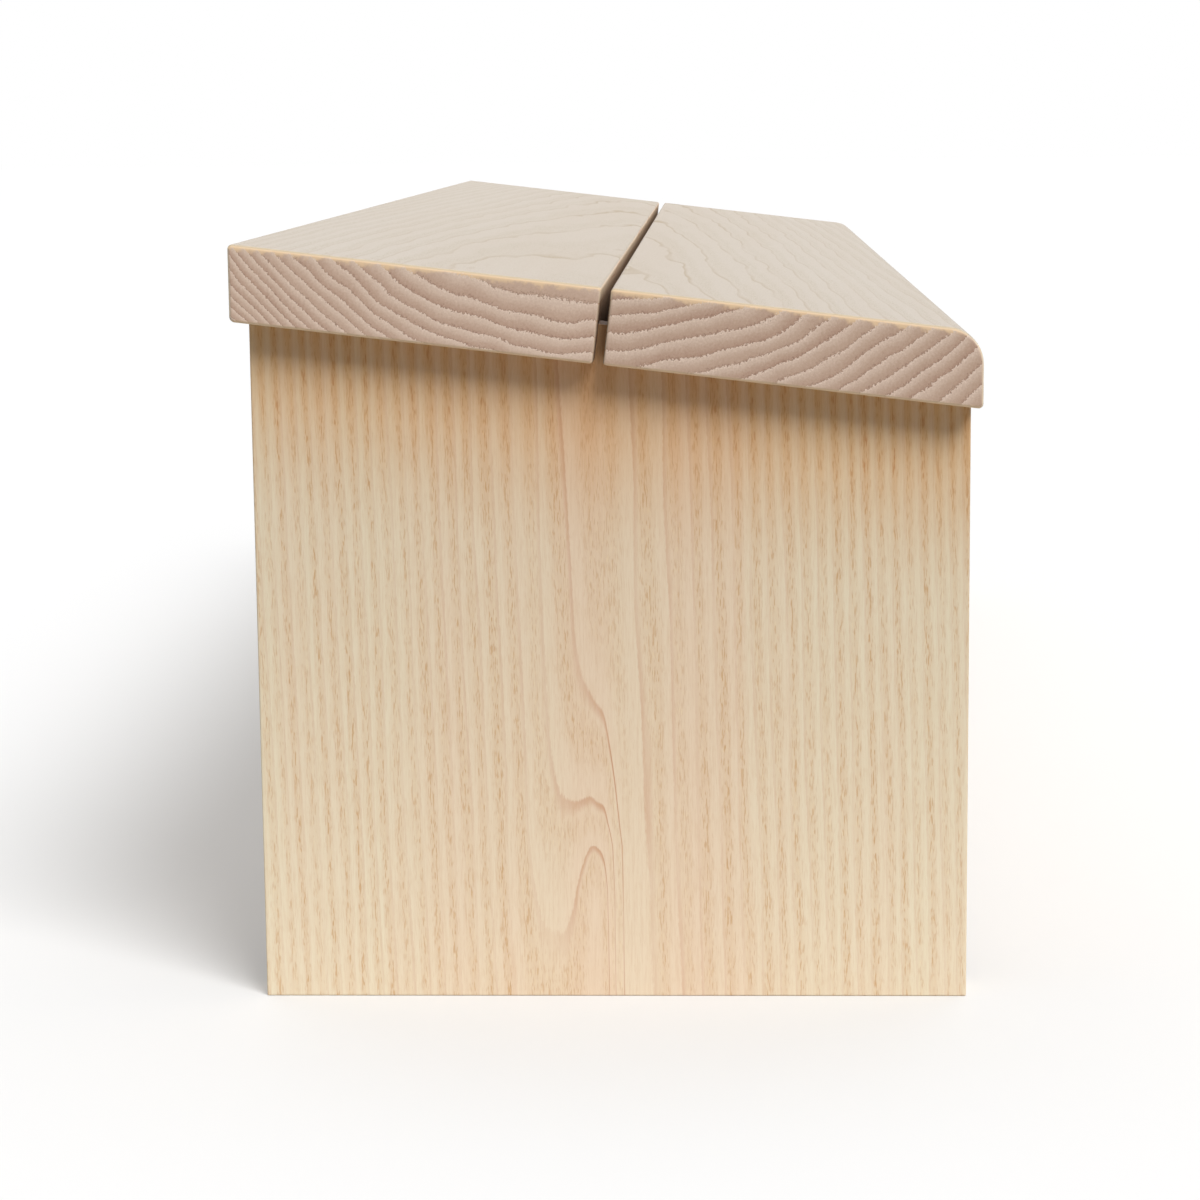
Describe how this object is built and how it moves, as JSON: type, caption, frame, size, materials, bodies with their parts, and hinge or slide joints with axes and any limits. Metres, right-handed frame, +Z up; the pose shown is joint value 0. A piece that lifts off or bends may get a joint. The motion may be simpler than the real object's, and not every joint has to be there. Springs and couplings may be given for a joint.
{
  "type": "storage bench",
  "caption": "Ash storage bench with slab ends and a closed box under a forward-sloping two-board seat that lifts on rear hinges as a lid.",
  "frame": {"origin": "on the floor at the middle of the bounding box", "axes": "+X along the bench, -Y to the front, the low side of the seat, +Z up"},
  "size_m": [1.6, 0.4, 0.4167],
  "materials": {
    "ash_seat": "oiled, pale",
    "ash_end": "oiled, warm",
    "ash_panel": "oiled, warm",
    "ash_strip": "planed",
    "birch_plywood": "sanded",
    "beech_dowel": "fluted, plain",
    "hinge_brass": "satin",
    "screw_brass": "satin",
    "pin_steel": "turned",
    "screw_steel": "zinc plated",
    "felt": "pressed wool felt"
  },
  "bodies": {
    "carcass": {"left_end_panel": "ash_end", "right_end_panel": "ash_end", "front_panel": "ash_panel", "rear_panel": "ash_panel", "front_floor_cleat": "ash_strip", "rear_floor_cleat": "ash_strip", "left_floor_cleat": "ash_strip", "right_floor_cleat": "ash_strip", "floor_panel": "birch_plywood", "front_panel_dowels": "beech_dowel", "rear_panel_dowels": "beech_dowel", "lid_buffers": "felt", "left_hinge_carcass_leaf": "hinge_brass", "left_hinge_pin": "pin_steel", "centre_hinge_carcass_leaf": "hinge_brass", "centre_hinge_pin": "pin_steel", "right_hinge_carcass_leaf": "hinge_brass", "right_hinge_pin": "pin_steel", "hinge_carcass_screws": "screw_brass", "cleat_screws": "screw_steel", "floor_panel_screws": "screw_steel"},
    "lid": {"front_seat_board": "ash_seat", "rear_seat_board": "ash_seat", "left_seat_batten": "ash_strip", "centre_seat_batten": "ash_strip", "right_seat_batten": "ash_strip", "seat_batten_screws": "screw_steel", "left_hinge_lid_leaf": "hinge_brass", "centre_hinge_lid_leaf": "hinge_brass", "right_hinge_lid_leaf": "hinge_brass", "hinge_lid_screws": "screw_brass"}
  },
  "joints": [
    {"name": "seat_lid", "type": "hinge", "parent": "carcass", "child": "lid", "pos_m": [0, 0.19236, 0.37395], "axis": [-1, 0, 0], "range_deg": [0, 100]}
  ]
}
